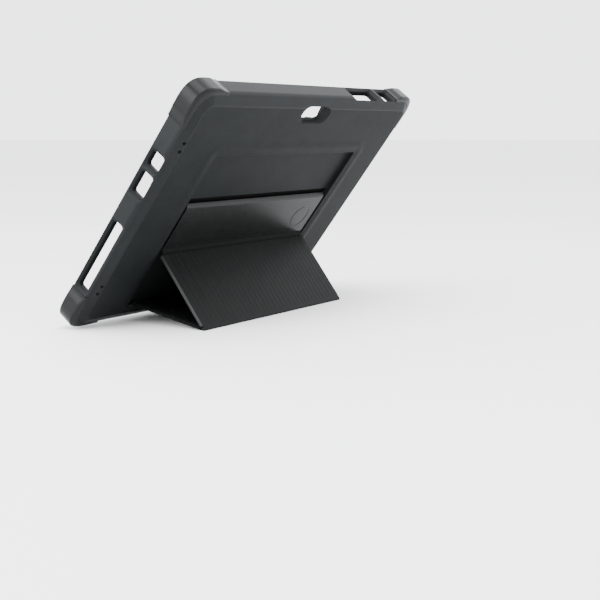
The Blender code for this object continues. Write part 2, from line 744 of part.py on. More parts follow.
def main():
    clear_scene()
    paint = {name: make_material(name) for name in COLOURS}
    foot_turn, leg_turn = solve_stand()
    lean = solve_lean(foot_turn)

    # The tray's bottom edge is turned over to face the floor, its back to -Y.
    tray = make_empty("tray_frame", None, (0.0, 0.0, 0.0), 0.0)
    standing = Matrix((
        (-1.0, 0.0, 0.0),
        (0.0, -math.cos(lean), math.sin(lean)),
        (0.0, math.sin(lean), math.cos(lean)),
    ))
    heel = CHAMFER_RISE - BUMPER_HEEL
    edge = standing @ Vector((0.0, -HALF_Y - BUMPER_PROUD, heel))
    back = standing @ Vector((0.0, HALF_Y + BUMPER_PROUD, heel))
    front = standing @ Vector((0.0, -HALF_Y + BUMPER_CREST, DEPTH + BUMPER_CREST))
    tray.matrix_world = Matrix.Translation(
        Vector((0.0, -(back.y + front.y) / 2, -edge.z)) * MM) @ standing.to_4x4()

    camera = make_camera_tool(tray)
    lanyards = make_lanyard_tools(tray)
    make_frame(tray, paint["soft_black"], camera, lanyards)
    make_back_plate(tray, paint["hard_black"], camera)
    make_corner_bumpers(tray, paint["bumper_black"])
    make_liner(tray, paint["liner_black"], camera, lanyards)
    make_rails(tray, paint["rail_grey"])
    make_pads(tray, paint["pad_blue"])
    make_keeper(tray, paint["keeper_grey"])
    make_anchor_strip(tray, paint["panel_skin"])

    skin = paint["panel_skin"]
    core = paint["panel_core"]
    foot_axis = make_empty(
        "base_fold_axis", tray, (0.0, tray_y(FOOT_HINGE_Y), FOOT_HINGE_Z), foot_turn)
    make_foot_panel(foot_axis, (skin, core))
    leg_axis = make_empty(
        "foot_fold_axis", foot_axis, (0.0, FOOT_SPAN, PANEL_THICK / 2), leg_turn - foot_turn)
    make_leg_panel(leg_axis, (paint["leg_grip"], core, skin))
    tab_axis = make_empty(
        "tab_fold_axis", leg_axis,
        (0.0, LEG_SPAN, -PANEL_THICK / 2 - TAB_HINGE_RISE), -leg_turn)
    make_tab(tab_axis, (skin, core), paint["magnet_steel"])


main()
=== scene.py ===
import json
import math

import bmesh
import bpy
from mathutils import Matrix, Vector


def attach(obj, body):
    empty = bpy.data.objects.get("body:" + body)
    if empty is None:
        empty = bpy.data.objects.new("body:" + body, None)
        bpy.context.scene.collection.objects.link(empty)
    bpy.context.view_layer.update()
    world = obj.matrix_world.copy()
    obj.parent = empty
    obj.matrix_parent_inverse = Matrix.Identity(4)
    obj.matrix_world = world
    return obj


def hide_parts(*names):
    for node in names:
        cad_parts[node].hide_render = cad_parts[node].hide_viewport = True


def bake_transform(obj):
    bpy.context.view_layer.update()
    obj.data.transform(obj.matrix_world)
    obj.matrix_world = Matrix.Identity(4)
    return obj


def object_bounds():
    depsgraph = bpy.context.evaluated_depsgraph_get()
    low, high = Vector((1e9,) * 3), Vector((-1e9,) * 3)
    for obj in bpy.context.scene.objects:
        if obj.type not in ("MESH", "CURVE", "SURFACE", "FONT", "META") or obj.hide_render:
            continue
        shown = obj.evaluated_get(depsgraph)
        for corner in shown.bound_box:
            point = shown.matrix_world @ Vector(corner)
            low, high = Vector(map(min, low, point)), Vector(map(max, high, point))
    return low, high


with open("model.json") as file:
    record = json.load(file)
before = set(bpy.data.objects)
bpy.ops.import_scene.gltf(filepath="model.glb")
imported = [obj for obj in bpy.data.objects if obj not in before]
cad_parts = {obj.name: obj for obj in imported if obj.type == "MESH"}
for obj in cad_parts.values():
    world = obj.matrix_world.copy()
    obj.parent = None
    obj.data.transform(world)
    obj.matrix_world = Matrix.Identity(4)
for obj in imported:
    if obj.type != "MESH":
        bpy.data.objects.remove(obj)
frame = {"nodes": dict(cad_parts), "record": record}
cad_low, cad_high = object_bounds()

MM = 0.001
# Clearance between pieces, a hair's breadth between faces that meet, and how far cutters overshoot
GAP = 0.3
HAIR = 0.02
CUT_PAST = 3.0

# Tray
HALF_X = 128.1
HALF_Y = 93.1
DEPTH = 16.3
CORNER_RADIUS = 14.0
CORNER_STEPS = 12
CHAMFER_RUN = 8.0
CHAMFER_RISE = 3.7
WALL = 5.3
LIP_REACH = 6.6
LIP_UNDERSIDE = 15.2
FLOOR_TOP = 4.1
MOUNT_HEIGHT = 153.0
CHAMFER_TOE = 0.5
RIM_STEP = 3.9
RIM_RAMP = 0.4
RIM_DROP = 0.45
LIP_BEVEL = 0.2
LEAST_RADIUS = 0.4
FRAME_RADII = (0.0, 3.0, 3.0, 1.3, 0.3, 0.25, 0.3, 0.2, 0.25, 0.4, 0.0)
FRAME_ARC_STEPS = 5

# Recess
RECESS_HALF_X = 83.8
RECESS_LOW = 15.2
RECESS_HIGH = 140.1
RECESS_DEPTH = 3.2
RECESS_RADIUS = 1.5
SHOULDER = 11.0
SHOULDER_BELOW = 3.6
SHOULDER_PROUD = 0.42
SHOULDER_INSIDE = 0.5
SHOULDER_GUARD = 1.3
SHOULDER_STEPS = 12
SLOT_ABOVE = 3.6
SLOT_DEPTH = 0.65
SLOT_BELOW = 0.4
SLOT_SIDE = 0.6
SLOT_RADIUS = 0.8
STRIP_WIDTH = 6.0
STRIP_THICK = 0.6
REBATE_PAST = 2.0

# The hard back: its border as distances inwards and levels, and its recess as distances outwards
BORDER_PROFILE = ((0.0, FLOOR_TOP), (0.0, 0.06), (0.06, 0.0), (0.5, 0.0), (2.0, 0.0))
RECESS_PROFILE = (
    (SHOULDER_INSIDE, 0.0), (0.2, 0.06), (0.04, 0.2), (0.0, 0.45), (0.0, RECESS_DEPTH - 0.3),
    (-0.1, RECESS_DEPTH - 0.08), (-0.35, RECESS_DEPTH), (-1.0, RECESS_DEPTH))

# Corner bumpers
BUMPER_REACH = 26.0
BUMPER_PROUD = 1.7
BUMPER_FLUSH = 0.1
BUMPER_FADE = 9.0
BUMPER_GAP = 0.08
BUMPER_SEAT = 1.5
BUMPER_FOOT = 2.0
BUMPER_HEEL = 0.5
BUMPER_LIP = 3.4
BUMPER_LIP_THICK = 1.6
BUMPER_CREST = 0.2
BUMPER_CORNER = 1.9
BUMPER_FOOT_PROUD = 0.25
BUMPER_SEAT_RISE = 1.0
BUMPER_SEAT_FLAT = 0.4
BUMPER_RADII = (0.15, 2.2, 1.5, 0.5, 0.0, 0.0, 0.0, 0.0)
BUMPER_ARC_STEPS = 7
BUMPER_STATIONS = 72
SEAT_STATIONS = 40

# Openings: centre and half length along the wall, then low and high above the back plane
SIDE_PORTS = {
    "audio_port": (131.0, 5.2, 4.2, 13.7),
    "usb_port": (113.3, 7.9, 4.2, 13.7),
    "dock_port": (55.0, 26.6, 6.2, 13.7),
}
TOP_CUTOUTS = {
    "volume_cutout": (-60.5, 15.5, 3.2, 13.6),
    "power_cutout": (-92.0, 7.6, 3.2, 13.6),
}
OPENING_REACH = 9.0
OPENING_RADIUS = 2.0
SCOOP_FLARE = 2.8
SCOOP_SINK = 2.6
SCOOP_LOW = 1.1
SCOOP_HIGH = 15.5
SCOOP_RINGS = 7
SCOOP_CURVE = 1.7
SCOOP_PAST = 1.35
CAMERA_AT = 173.2
CAMERA_HALF_X = 12.5
CAMERA_HALF_Y = 5.5
CAMERA_FLARE_X = 4.5
CAMERA_FLARE_Y = 1.4
CAMERA_FLAT = 0.05
# Shares of the flare, or of the drill's radius for a lanyard hole, with their levels
CAMERA_PROFILE = (
    (1.0, -CUT_PAST), (1.0, 0.0), (0.78, 0.4), (0.45, 1.1), (0.16, 1.9), (0.0, 2.8), (0.0, 9.0))
LANYARD_PAIRS = (147.5, 33.8)
LANYARD_INSET = 6.45
LANYARD_SPACING = 6.2
LANYARD_RADIUS = 1.1
LANYARD_SIDES = 20
LANYARD_PROFILE = ((1.5, -0.6), (1.0, 0.9), (1.0, 8.0))

# Liner, rails, pads and keeper plate
LINER_OUTSIDE = 5.6
LINER_BAND_X = 35.0
LINER_BAND_Y = 21.0
LINER_BASE = 4.4
LINER_SKEW = 0.035
LINER_CREST = (6.6, 6.75, 6.5, 6.0, 5.2)
LINER_TROUGH = (5.3, 5.35, 5.2, 5.0, 4.75)
LINER_INNER_RADIUS = 6.0
LEAVES_SHORT_SIDE = 8
LEAVES_LONG_SIDE = 13
LEAF_STATIONS = (0.015, 0.045, 0.3, 0.6, 0.985)
LEAF_FOOT = 0.02
LEAF_CREST = 0.05
LEAF_STEP = 0.12
RAIL_X = 70.0
RAIL_Y = 45.5
RAIL_WIDTH = 5.0
RAIL_THICK = 0.6
RAIL_BEVEL = 0.15
RAIL_GROOVE = 0.9
RAIL_GROOVE_FLOOR = 0.7
RAIL_GROOVE_DEPTH = 0.18
RAIL_LEAST_RADIUS = 0.5
ARM_SINK = 0.05
ARM_END_X = 102.0
ARM_END_Y = 73.0
PAD_TOP = 6.9
PAD_LOBE = 16.5
PAD_TAIL = 15.0
PAD_HALF_WIDTH = 7.0
PAD_RADIUS = 1.6
PAD_CHANNEL = 30.0
# Distances in from the outline, with heights above the liner's base
PAD_PROFILE = (
    (0.2, 0.0), (0.0, 0.15), (0.0, 0.75), (0.15, 0.9), (0.75, 0.95), (0.85, 1.05), (1.15, 1.95),
    (1.35, 2.3), (1.75, 2.46), (2.4, 2.5), (4.6, 2.42))
# Chevrons: distances from the pad's middle, (across, along, thickness) down the V, and its section
CHEVRON_REACHES = (-1.5, 3.5)
CHEVRON_SPINE = (
    (-6.4, -3.6, 0.35), (-6.0, -3.4, 1.0), (0.0, 0.0, 1.0), (6.0, -3.4, 1.0), (6.4, -3.6, 0.35))
CHEVRON_PROFILE = (
    (-0.9, -0.25), (-0.75, 0.12), (-0.35, 0.24), (0.35, 0.24), (0.75, 0.12), (0.9, -0.25))
KEEPER_HALF_X = 26.5
KEEPER_HALF_Y = 30.0
KEEPER_CENTRE_Y = 6.5
KEEPER_RADIUS = 2.2
KEEPER_RADIUS_DROP = 0.4
# As for the pads
KEEPER_PROFILE = (
    (0.0, 0.0), (0.0, 0.42), (0.12, 0.55), (0.35, 0.6), (1.6, 0.6), (1.8, 0.5), (2.2, 0.5),
    (2.4, 0.6), (4.0, 0.6))

# Kickstand
PANEL_HALF_X = 83.1
PANEL_THICK = 2.4
PANEL_EDGE = 0.55
PANEL_CORNER = 1.6
LEAST_PANEL_RADIUS = 0.2
SKIN_THICK = 0.6
SKIN_BORDER = 1.4
POCKET_END = 5.0
POCKET_CUT = 9.0
LINING_CORNER = 0.6
LINING_EDGE = 0.22
# Which faces get the painted side highlight or shade: how squarely they face sideways, and how near the
# side
SIDE_PAINT_FACING = 0.25
SIDE_PAINT_WIDTH = 0.6
STRIP_CORNER = 1.0
STRIP_EDGE = 0.2
FOOT_SPAN = 63.8
LEG_SPAN = 59.2
TAB_LENGTH = 38.3
TAB_HALF_X = 81.5
TAB_HINGE_RISE = 0.2
TAB_BEVEL = 3.0
TAB_BEVEL_PROFILE = ((1.0, 0.0), (0.7, 0.18), (0.3, 0.85), (0.0, 2.0))
TAB_CORNER = 2.0
TAB_EDGE = 0.5
FOOT_ROOT = 0.4
HINGE_GAP_FOOT = 1.6
HINGE_GAP_TAB = 2.0
MITRE_RUN = 2.1
MITRE_START = 0.4
LEG_END_BEVEL = 1.5
END_PAST = 1.0
SIDE_PAST = 2.0
BEAD_RADIUS = 1.1
BEAD_SIDES = 24
# Distances from the bead's end, with shares of its radius
BEAD_END = ((0.0, 0.5), (0.15, 0.75), (0.5, 0.86))
# A fine pressed line inside the foot panel's border
LINE_SIDE = 3.2
LINE_LOW = 4.2
LINE_HIGH = 5.0
LINE_RADIUS = 1.2
LINE_WIDTH = 0.5
LINE_DEPTH = 0.18
# Grooves on the leg: the profile is in shares of half the width and of the depth
GROOVE_PITCH = 4.75
GROOVE_WIDTH = 1.3
GROOVE_DEPTH = 0.13
GROOVE_BORDER = 3.0
GROOVE_ABOVE = 0.6
GROOVE_PROFILE = ((0.62, 0.45), (0.25, 0.92), (0.0, 1.0))
MOUTH = 0.01
# Living hinges, then the tab's magnet and its print
WEB_THICK = 0.5
WEB_STEPS = 28
WEB_STRIDE = 0.01
WEB_EDGE = 0.3
WEB_EDGE_THICK = 0.6
WEB_SIDE = 0.4
KNEE_ROOM = 0.9
MAGNET_X = 65.0
MAGNET_Y = 17.7
MAGNET_PRINT = 9.2
PRINT_WIDTH = 0.7
PRINT_DEPTH = 0.32
PRINT_SIDES = 64

# Corners as seen from behind: the signs of the tray's X and Y
CORNERS = {
    "top_left": (1, 1),
    "top_right": (-1, 1),
    "bottom_left": (1, -1),
    "bottom_right": (-1, -1),
}

# Camera, floor and lights, in metres, degrees and watts
CAMERA_PLACE = (-0.66217, -0.48212, 0.12937)
CAMERA_TURN = (81.56, 0.0, -56.45)
CAMERA_LENS = 69.76
CAMERA_SENSOR = 36.0
CAMERA_NEAR = 0.01
FLOOR_RADIUS = 12.0
FLOOR_SIDES = 64
FLOOR_TONES = ((0.84, 0.84, 0.84), (0.86, 0.86, 0.86))
FLOOR_ROUGHNESS = 0.75
WORLD_COLOUR = (0.97, 0.98, 1.0, 1.0)
WORLD_STRENGTH = 3.5
LIGHT_AIM = (0.0, 0.0, 0.08)
LIGHTS = (
    ("top_softbox", (-0.35, -0.25, 1.3), (0.9, 0.9), 23.0),
    ("left_softbox", (-1.2, 0.35, 0.55), (0.7, 0.9), 26.0),
    ("back_softbox", (0.5, -1.2, 0.7), (0.8, 0.6), 1.5),
)

MOUNTS = {mount["name"]: mount for mount in frame["record"]["mounts"]}
JOINTS = {joint["name"]: joint for joint in frame["record"]["behaviour"]["joints"]}


# ---------------------------------------------------------------- places

def tray_y(height):
    """Tray Y of a height measured up from the tray's bottom edge."""
    return height - HALF_Y


def tray_matrix():
    """The tray's millimetres to the world: X to the left, Y up the back, Z out of the screen side."""
    mount = MOUNTS["back_face"]
    normal = -Vector(mount["axis"]).normalized()
    up = Vector((0.0, -normal.z, normal.y))
    axes = Matrix((up.cross(normal), up, normal)).transposed()
    origin = Vector(mount["pos_m"]) - up * tray_y(MOUNT_HEIGHT) * MM
    return Matrix.Translation(origin) @ axes.to_4x4() @ Matrix.Scale(MM, 4)


TRAY = tray_matrix()


def panel_matrix(joint, reach, target):
    """A panel's frame: origin on its own hinge, turned so that the point reach meets the next hinge."""
    to_tray = TRAY.inverted()
    start = to_tray @ Vector(JOINTS[joint]["pos_m"])
    end = to_tray @ Vector(JOINTS[target]["pos_m"])
    run = end - start
    angle = math.atan2(run.z, run.y) - math.atan2(reach[1], reach[0])
    return TRAY @ Matrix.Translation(start) @ Matrix.Rotation(angle, 4, "X")


FOOT = panel_matrix("base_fold", (FOOT_SPAN, PANEL_THICK / 2), "foot_fold")
LEG = panel_matrix("foot_fold", (LEG_SPAN, -PANEL_THICK / 2 - TAB_HINGE_RISE), "tab_fold")
TAB_HINGE = TRAY.inverted() @ Vector(JOINTS["tab_fold"]["pos_m"])
TAB = TRAY @ Matrix.Translation(TAB_HINGE)
TAB_HINGE_AT = TAB_HINGE.y + HALF_Y


# ---------------------------------------------------------------- outlines

def fillet(points, radii, steps=4):
    """A closed outline with each corner rounded to its radius."""
    result = []
    for i, radius in enumerate(radii):
        here = Vector(points[i])
        if not radius:
            result.append(tuple(here))
            continue
        before = (Vector(points[i - 1]) - here).normalized()
        after = (Vector(points[(i + 1) % len(points)]) - here).normalized()
        half = before.angle(after) / 2
        centre = here + (before + after).normalized() * (radius / math.sin(half))
        start = here + before * (radius / math.tan(half)) - centre
        end = here + after * (radius / math.tan(half)) - centre
        first = math.atan2(start.y, start.x)
        sweep = (math.atan2(end.y, end.x) - first + math.pi) % (2 * math.pi) - math.pi
        for step in range(steps + 1):
            angle = first + sweep * step / steps
            result.append((centre.x + radius * math.cos(angle), centre.y + radius * math.sin(angle)))
    return result


def rounded_rectangle(half_a, half_b, radius, centre=(0.0, 0.0), steps=CORNER_STEPS):
    """A rectangular outline with round corners, given by half its two sides."""
    points = []
    for side_a, side_b, start in ((1, 1, 0.0), (-1, 1, 0.5), (-1, -1, 1.0), (1, -1, 1.5)):
        for i in range(steps + 1):
            angle = math.pi * (start + 0.5 * i / steps)
            a = side_a * (half_a - radius) + radius * math.cos(angle)
            b = side_b * (half_b - radius) + radius * math.sin(angle)
            points.append((centre[0] + a, centre[1] + b))
    return points


def circle(radius, sides, centre=(0.0, 0.0)):
    """A circle's outline with a number of sides."""
    angles = [2 * math.pi * i / sides for i in range(sides)]
    return [(centre[0] + radius * math.cos(a), centre[1] + radius * math.sin(a)) for a in angles]


def rectangle(low_a, high_a, low_b, high_b):
    return [(low_a, low_b), (high_a, low_b), (high_a, high_b), (low_a, high_b)]


def at_level(outline, level):
    return [(a, b, level) for a, b in outline]


def inset_outline(inset, level):
    """The tray's rounded outline, moved in by a distance, at one height."""
    radius = max(CORNER_RADIUS - inset, LEAST_RADIUS)
    return at_level(rounded_rectangle(HALF_X - inset, HALF_Y - inset, radius), level)


def smooth_step(value):
    """Ease from 0 to 1, flat at both ends."""
    value = min(max(value, 0.0), 1.0)
    return value * value * (3 - 2 * value)


# ---------------------------------------------------------------- meshes

def mesh_piece(name, rings, closed=False):
    """Skin equal rings of points, as a tube with caps or as a closed band."""
    bm = bmesh.new()
    loops = [[bm.verts.new(point) for point in ring] for ring in rings]
    pairs = list(zip(loops, loops[1:]))
    if closed:
        pairs.append((loops[-1], loops[0]))
    else:
        bm.faces.new(loops[0])
        bm.faces.new(loops[-1])
    for first, second in pairs:
        for i, vert in enumerate(first):
            j = (i + 1) % len(first)
            bm.faces.new((vert, first[j], second[j], second[i]))
    bmesh.ops.recalc_face_normals(bm, faces=bm.faces)
    mesh = bpy.data.meshes.new(name)
    bm.to_mesh(mesh)
    bm.free()
    piece = bpy.data.objects.new(name, mesh)
    bpy.context.scene.collection.objects.link(piece)
    return piece


def prism(name, outline, low, high, axis):
    """Extrude a flat outline along X, Y or Z; the outline holds the other two axes in order."""
    rings = []
    for level in (low, high):
        order = {
            "X": [(level, a, b) for a, b in outline],
            "Y": [(a, level, b) for a, b in outline],
            "Z": [(a, b, level) for a, b in outline],
        }
        rings.append(order[axis])
    return mesh_piece(name, rings)


def bake(piece):
    """Apply a piece's modifiers."""
    graph = bpy.context.evaluated_depsgraph_get()
    mesh = bpy.data.meshes.new_from_object(piece.evaluated_get(graph), depsgraph=graph)
    piece.modifiers.clear()
    piece.data = mesh


def carve(piece, tools, operation="DIFFERENCE"):
    """Cut tools out of a piece, or join them to it, and remove them."""
    for tool in tools:
        modifier = piece.modifiers.new(tool.name, "BOOLEAN")
        modifier.operation = operation
        modifier.solver = "EXACT"
        modifier.object = tool
    bake(piece)
    for tool in tools:
        bpy.data.objects.remove(tool, do_unlink=True)


def settle(piece, place, body, material, nodes=(), sharp=35.0):
    """Put a finished piece in the world, on its body, in place of its CAD nodes.

    Edges bent by more than the angle sharp, in degrees, stay sharp.
    """
    piece.data.transform(place)
    piece.data.materials.clear()
    piece.data.materials.append(material)
    piece.data.shade_smooth()
    piece.data.set_sharp_from_angle(angle=math.radians(sharp))
    weighted = piece.modifiers.new("normals", "WEIGHTED_NORMAL")
    weighted.keep_sharp = True
    if body:
        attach(piece, body)
    if nodes:
        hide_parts(*nodes)
    return piece


# ---------------------------------------------------------------- materials

DARKER = 0.88
LIGHTER = 1.12


def shader_tree(name):
    """A new material with its node tree, its surface shader and the piece's own coordinates."""
    material = bpy.data.materials.new(name)
    material.use_nodes = True
    tree = material.node_tree
    shader = tree.nodes["Principled BSDF"]
    place = tree.nodes.new("ShaderNodeTexCoord").outputs["Object"]
    return material, tree, shader, place


def noise_field(tree, place, size, detail=3.0, stretch=(1.0, 1.0, 1.0)):
    """Noise with features of a given size in metres."""
    mapping = tree.nodes.new("ShaderNodeMapping")
    mapping.inputs["Scale"].default_value = stretch
    tree.links.new(place, mapping.inputs["Vector"])
    field = tree.nodes.new("ShaderNodeTexNoise")
    field.inputs["Scale"].default_value = 1.0 / size
    field.inputs["Detail"].default_value = detail
    tree.links.new(mapping.outputs["Vector"], field.inputs["Vector"])
    return field.outputs["Fac"]


def ramp(tree, source, low, high, start, end):
    """Map a field's low-to-high range to start-to-end."""
    node = tree.nodes.new("ShaderNodeMapRange")
    node.inputs["From Min"].default_value = low
    node.inputs["From Max"].default_value = high
    node.inputs["To Min"].default_value = start
    node.inputs["To Max"].default_value = end
    tree.links.new(source, node.inputs["Value"])
    return node.outputs["Result"]


def blend_colours(tree, factor, first, second):
    """Mix two colours, each a tuple or another node's output."""
    node = tree.nodes.new("ShaderNodeMix")
    node.data_type = "RGBA"
    tree.links.new(factor, node.inputs[0])
    for socket, colour in ((node.inputs[6], first), (node.inputs[7], second)):
        if isinstance(colour, tuple):
            socket.default_value = (*colour, 1.0)
        else:
            tree.links.new(colour, socket)
    return node.outputs[2]


def plastic(name, colour, roughness, grain, depth, worn, wear=0.3, blotch=0.02, gloss=0.3):
    """Moulded plastic or rubber: fine grain, slow colour drift, specks and paler, worn edges.

    The sizes of the grain and the blotches and the depth of the bump are in metres.
    """
    material, tree, shader, place = shader_tree(name)
    fine = noise_field(tree, place, grain, 4.0)
    drift = noise_field(tree, place, blotch, 3.0)
    specks = noise_field(tree, place, grain * 6, 2.0)
    darker = tuple(c * DARKER for c in colour)
    lighter = tuple(c * LIGHTER for c in colour)
    base = blend_colours(tree, ramp(tree, drift, 0.3, 0.7, 0.0, 1.0), darker, lighter)
    grit = ramp(tree, specks, 0.62, 0.74, 0.0, 0.1)
    base = blend_colours(tree, grit, base, worn)
    edges = tree.nodes.new("ShaderNodeNewGeometry").outputs["Pointiness"]
    rub = ramp(tree, edges, 0.53, 0.60, 0.0, wear)
    base = blend_colours(tree, rub, base, worn)
    tree.links.new(base, shader.inputs["Base Color"])
    shine = ramp(tree, fine, 0.25, 0.75, roughness - 0.07, roughness + 0.09)
    tree.links.new(shine, shader.inputs["Roughness"])
    bump = tree.nodes.new("ShaderNodeBump")
    bump.inputs["Strength"].default_value = 1.0
    bump.inputs["Distance"].default_value = depth
    tree.links.new(fine, bump.inputs["Height"])
    tree.links.new(bump.outputs["Normal"], shader.inputs["Normal"])
    shader.inputs["Specular IOR Level"].default_value = gloss
    return material


def brushed_metal(name, colour, roughness):
    """Plated metal with fine lines along X and a slow cloud of tone."""
    material, tree, shader, place = shader_tree(name)
    lines = noise_field(tree, place, 0.0006, 3.0, (0.03, 1.0, 1.0))
    cloud = noise_field(tree, place, 0.012, 3.0)
    lighter = tuple(c * LIGHTER for c in colour)
    tone = blend_colours(tree, ramp(tree, cloud, 0.3, 0.7, 0.0, 1.0), colour, lighter)
    tree.links.new(tone, shader.inputs["Base Color"])
    shine = ramp(tree, lines, 0.3, 0.7, roughness - 0.06, roughness + 0.1)
    tree.links.new(shine, shader.inputs["Roughness"])
    bump = tree.nodes.new("ShaderNodeBump")
    bump.inputs["Distance"].default_value = 0.00001
    tree.links.new(lines, bump.inputs["Height"])
    tree.links.new(bump.outputs["Normal"], shader.inputs["Normal"])
    shader.inputs["Metallic"].default_value = 1.0
    return material


WORN_GREY = (0.022, 0.023, 0.023)
WORN_SKIN = (0.026, 0.027, 0.027)
SOFT_BLACK = plastic(
    "soft_black_moulded", (0.0066, 0.0077, 0.008), roughness=0.44, grain=0.00035, depth=0.00002,
    worn=WORN_GREY, gloss=0.07)
HARD_BLACK = plastic(
    "hard_black_textured", (0.0072, 0.0083, 0.0083), roughness=0.52, grain=0.0005, depth=0.00003,
    worn=WORN_GREY, gloss=0.035)
BUMPER_BLACK = plastic(
    "bumper_satin", (0.006, 0.0066, 0.0067), roughness=0.27, grain=0.0003, depth=0.000012,
    worn=(0.018, 0.018, 0.018), wear=0.1, gloss=0.085)
LINER_BLACK = plastic(
    "liner_matt", (0.0055, 0.0066, 0.007), roughness=0.55, grain=0.0006, depth=0.00003,
    worn=(0.02, 0.021, 0.021), gloss=0.08)
PANEL_SKIN = plastic(
    "panel_skin_satin", (0.0036, 0.0042, 0.0041), roughness=0.3, grain=0.00045, depth=0.00002,
    worn=WORN_SKIN, gloss=0.09)
LEG_GRIP = plastic(
    "leg_grip_matt", (0.0032, 0.0038, 0.0037), roughness=0.42, grain=0.0004, depth=0.00002,
    worn=WORN_SKIN, gloss=0.05)
# Near-black painted shade, for the slot above the tab and for the tab's short sides
PAINTED_DEEP_SHADE = plastic(
    "painted_deep_shade", (0.0012, 0.0012, 0.0012), roughness=0.8, grain=0.0004, depth=0.00001,
    worn=(0.002, 0.002, 0.002), gloss=0.02)
# Dark painted shade, for the tab hinge's strip and the foot's short sides
PAINTED_DIM_SHADE = plastic(
    "painted_dim_shade", (0.0022, 0.0024, 0.0024), roughness=0.6, grain=0.0003, depth=0.00002,
    worn=(0.006, 0.006, 0.006), gloss=0.03)
# A paler painted highlight, for the leg's short sides as if lit from the left
PAINTED_SIDE_HIGHLIGHT = plastic(
    "painted_side_highlight", (0.014, 0.015, 0.015), roughness=0.4, grain=0.0003, depth=0.00002,
    worn=(0.03, 0.031, 0.031), gloss=0.15)
RAIL_GREY = plastic(
    "rail_grey_matt", (0.075, 0.076, 0.076), roughness=0.5, grain=0.0004, depth=0.00001,
    worn=(0.13, 0.13, 0.13), gloss=0.15)
KEEPER_GREY = plastic(
    "keeper_coated", (0.095, 0.096, 0.096), roughness=0.4, grain=0.0008, depth=0.00001,
    worn=(0.15, 0.15, 0.15), blotch=0.05, gloss=0.15)
PAD_BLUE = plastic(
    "pad_blue_soft", (0.014, 0.26, 0.63), roughness=0.42, grain=0.0004, depth=0.00001,
    worn=(0.09, 0.45, 0.8), wear=0.5, gloss=0.16)
CORE_BOARD = plastic(
    "core_board", (0.1, 0.1, 0.1), roughness=0.7, grain=0.0007, depth=0.00003,
    worn=(0.2, 0.2, 0.19))
MAGNET_STEEL = brushed_metal("magnet_nickel", (0.58, 0.57, 0.55), 0.28)


# ---------------------------------------------------------------- tray pieces

def opening_tools(name, along, half, low, high, wall):
    """The hole through a wall and the trumpet-shaped scoop round its mouth."""
    outside = HALF_X if wall == "X" else HALF_Y
    rise = (high - low) / 2
    middle = (low + high) / 2
    mouth_middle = (SCOOP_LOW + SCOOP_HIGH) / 2
    mouth_rise = (SCOOP_HIGH - SCOOP_LOW) / 2

    def ring(open_by, level):
        """The opening's outline at a level, opened by a share of the way to the scoop's mouth."""
        outline = rounded_rectangle(
            half + open_by * SCOOP_FLARE, rise + open_by * (mouth_rise - rise),
            OPENING_RADIUS + open_by, (along, middle + open_by * (mouth_middle - middle)), 6)
        if wall == "X":
            return [(level, a, b) for a, b in outline]
        return [(a, level, b) for a, b in outline]

    levels = [(0.0, outside - OPENING_REACH), (0.0, outside - SCOOP_SINK)]
    for i in range(1, SCOOP_RINGS):
        t = i / (SCOOP_RINGS - 1)
        levels.append((t ** SCOOP_CURVE, outside - SCOOP_SINK * (1 - t)))
    levels.append((SCOOP_PAST, outside + CUT_PAST))
    return mesh_piece(f"{name}_tool", [ring(open_by, level) for open_by, level in levels])


def camera_tool():
    """The camera opening: a long hole with round ends, flared towards the back."""
    centre = (0.0, tray_y(CAMERA_AT))
    rings = []
    for open_by, level in CAMERA_PROFILE:
        half_x = CAMERA_HALF_X + CAMERA_FLARE_X * open_by
        half_y = CAMERA_HALF_Y + CAMERA_FLARE_Y * open_by
        outline = rounded_rectangle(half_x, half_y, half_y - CAMERA_FLAT, centre)
        rings.append(at_level(outline, level))
    return mesh_piece("camera_tool", rings)


def lanyard_tools():
    """Drills through the chamfer, with a small countersink at each mouth."""
    tools = []
    for height in LANYARD_PAIRS:
        for side in (-0.5, 0.5):
            centre = (HALF_X - LANYARD_INSET, tray_y(height) + side * LANYARD_SPACING)
            rings = []
            for radius, level in LANYARD_PROFILE:
                outline = circle(LANYARD_RADIUS * radius, LANYARD_SIDES, centre)
                rings.append(at_level(outline, level))
            tools.append(mesh_piece("lanyard_tool", rings))
    return tools


def bumper_section(grow=0.0):
    """A bumper's section as (inset, level) points, with its inner faces grown for a cutter."""
    slope = CHAMFER_RISE / CHAMFER_RUN
    foot = BUMPER_FOOT + grow
    seat = BUMPER_SEAT + grow
    seat_level = CHAMFER_RISE + BUMPER_SEAT_RISE + grow
    lip = BUMPER_LIP + grow
    lip_level = DEPTH - BUMPER_LIP_THICK - grow
    return [
        (foot, CHAMFER_RISE - slope * foot - BUMPER_FOOT_PROUD),
        (-BUMPER_PROUD, CHAMFER_RISE - BUMPER_HEEL),
        (-BUMPER_PROUD, DEPTH + BUMPER_CREST),
        (lip, DEPTH + BUMPER_CREST),
        (lip, lip_level),
        (seat, lip_level),
        (seat, seat_level),
        (foot, seat_level - slope * (foot - BUMPER_SEAT_FLAT - seat)),
    ]


def corner_track(reach, steps):
    """Stations round a corner: the distance from the nearer end, and the place on the track."""
    straight = reach - CORNER_RADIUS
    arc = CORNER_RADIUS * math.pi / 2
    total = 2 * straight + arc
    stations = []
    for i in range(steps + 1):
        distance = total * i / steps
        if distance < straight:
            place = ("x", HALF_Y - reach + distance)
        elif distance > straight + arc:
            place = ("y", HALF_X - reach + (total - distance))
        else:
            place = ("arc", (distance - straight) / CORNER_RADIUS)
        stations.append((min(distance, total - distance), place))
    return stations


def track_point(place, inset, signs):
    """A point of the tray's outline, moved in by a distance, in one of its four corners."""
    kind, value = place
    if kind == "x":
        x, y = HALF_X - inset, value
    elif kind == "y":
        x, y = value, HALF_Y - inset
    else:
        x = HALF_X - CORNER_RADIUS + (CORNER_RADIUS - inset) * math.cos(value)
        y = HALF_Y - CORNER_RADIUS + (CORNER_RADIUS - inset) * math.sin(value)
    return signs[0] * x, signs[1] * y


